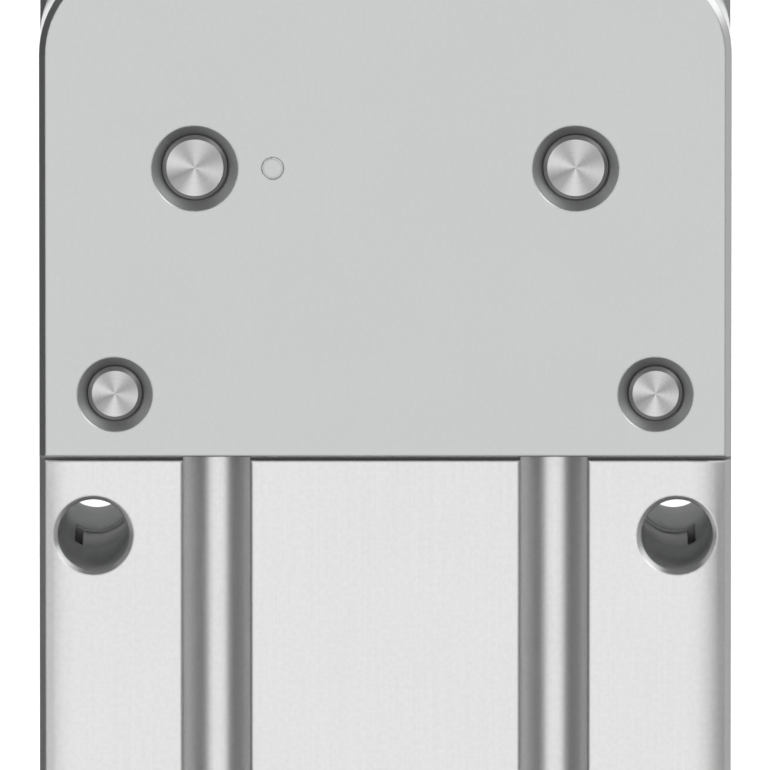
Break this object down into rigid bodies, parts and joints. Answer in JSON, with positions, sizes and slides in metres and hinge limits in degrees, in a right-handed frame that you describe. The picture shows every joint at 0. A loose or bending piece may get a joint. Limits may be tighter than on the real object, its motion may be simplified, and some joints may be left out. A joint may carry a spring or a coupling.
{
  "type": "angular gripper",
  "caption": "Small pneumatic angular gripper: a piston lifts a crosshead that swings paired jaws between head cheeks on a grooved cylinder body.",
  "frame": {"origin": "centre of the mounting face at the closed end of the cylinder", "axes": "+Z along the cylinder axis towards the jaws, +X to the right jaw and the air ports, front with the sensor grooves towards -Y"},
  "size_m": [0.032, 0.0204, 0.0655],
  "materials": {
    "body_aluminium": "clear anodised extrusion with fine vertical grain",
    "cheek_aluminium": "smooth satin grey anodised",
    "pin_steel": "ground steel, ends turned in fine rings",
    "index_aluminium": "satin, flush with the cheek",
    "shim_steel": "rolled shim steel",
    "block_steel": "milled steel, oiled",
    "cover_aluminium": "turned and clear anodised",
    "seal_rubber": "matt black nitrile rubber",
    "spring_steel": "dark phosphated spring steel",
    "bush_bronze": "sintered bronze",
    "piston_aluminium": "turned aluminium",
    "magnet_plastic": "plastic-bonded magnet",
    "rod_steel": "hard ground rod",
    "nut_steel": "bright zinc-plated",
    "crosshead_steel": "hardened and milled",
    "jaw_steel": "hardened steel, milled and ground"
  },
  "bodies": {
    "housing": {"cylinder_body": "body_aluminium", "front_cheek": "cheek_aluminium", "rear_cheek": "cheek_aluminium", "pivot_pin_left": "pin_steel", "pivot_pin_right": "pin_steel", "tie_pin_left": "pin_steel", "tie_pin_right": "pin_steel", "index_pin": "index_aluminium", "pivot_shims": "shim_steel", "tie_block_left": "block_steel", "tie_block_right": "block_steel", "end_cover": "cover_aluminium", "end_cover_seal": "seal_rubber", "end_cover_ring": "spring_steel", "seal_retainer": "bush_bronze", "rod_seal": "seal_rubber", "rod_bush": "bush_bronze"},
    "piston_assembly": {"piston": "piston_aluminium", "piston_seal_lower": "seal_rubber", "piston_seal_upper": "seal_rubber", "magnet_ring": "magnet_plastic", "piston_rod": "rod_steel", "piston_nut": "nut_steel", "crosshead": "crosshead_steel", "drive_pin_left": "pin_steel", "drive_pin_right": "pin_steel"},
    "left_jaw": {"jaw_left": "jaw_steel", "jaw_bush_left": "bush_bronze"},
    "right_jaw": {"jaw_right": "jaw_steel", "jaw_bush_right": "bush_bronze"}
  },
  "joints": [
    {"name": "piston_slide", "type": "slide", "parent": "housing", "child": "piston_assembly", "axis": [0, 0, 1], "range_m": [0, 0.00422]},
    {"name": "jaw_left_swing", "type": "hinge", "parent": "housing", "child": "left_jaw", "pos_m": [-0.0088, 0, 0.0435], "axis": [0, -1, 0], "range_deg": [0, 40]},
    {"name": "jaw_right_swing", "type": "hinge", "parent": "housing", "child": "right_jaw", "pos_m": [0.0088, 0, 0.0435], "axis": [0, 1, 0], "range_deg": [0, 40]}
  ],
  "couplings": [
    {"joint": "jaw_left_swing", "follows": "piston_slide", "rad_per_m": 165.35},
    {"joint": "jaw_right_swing", "follows": "piston_slide", "rad_per_m": 165.35}
  ]
}
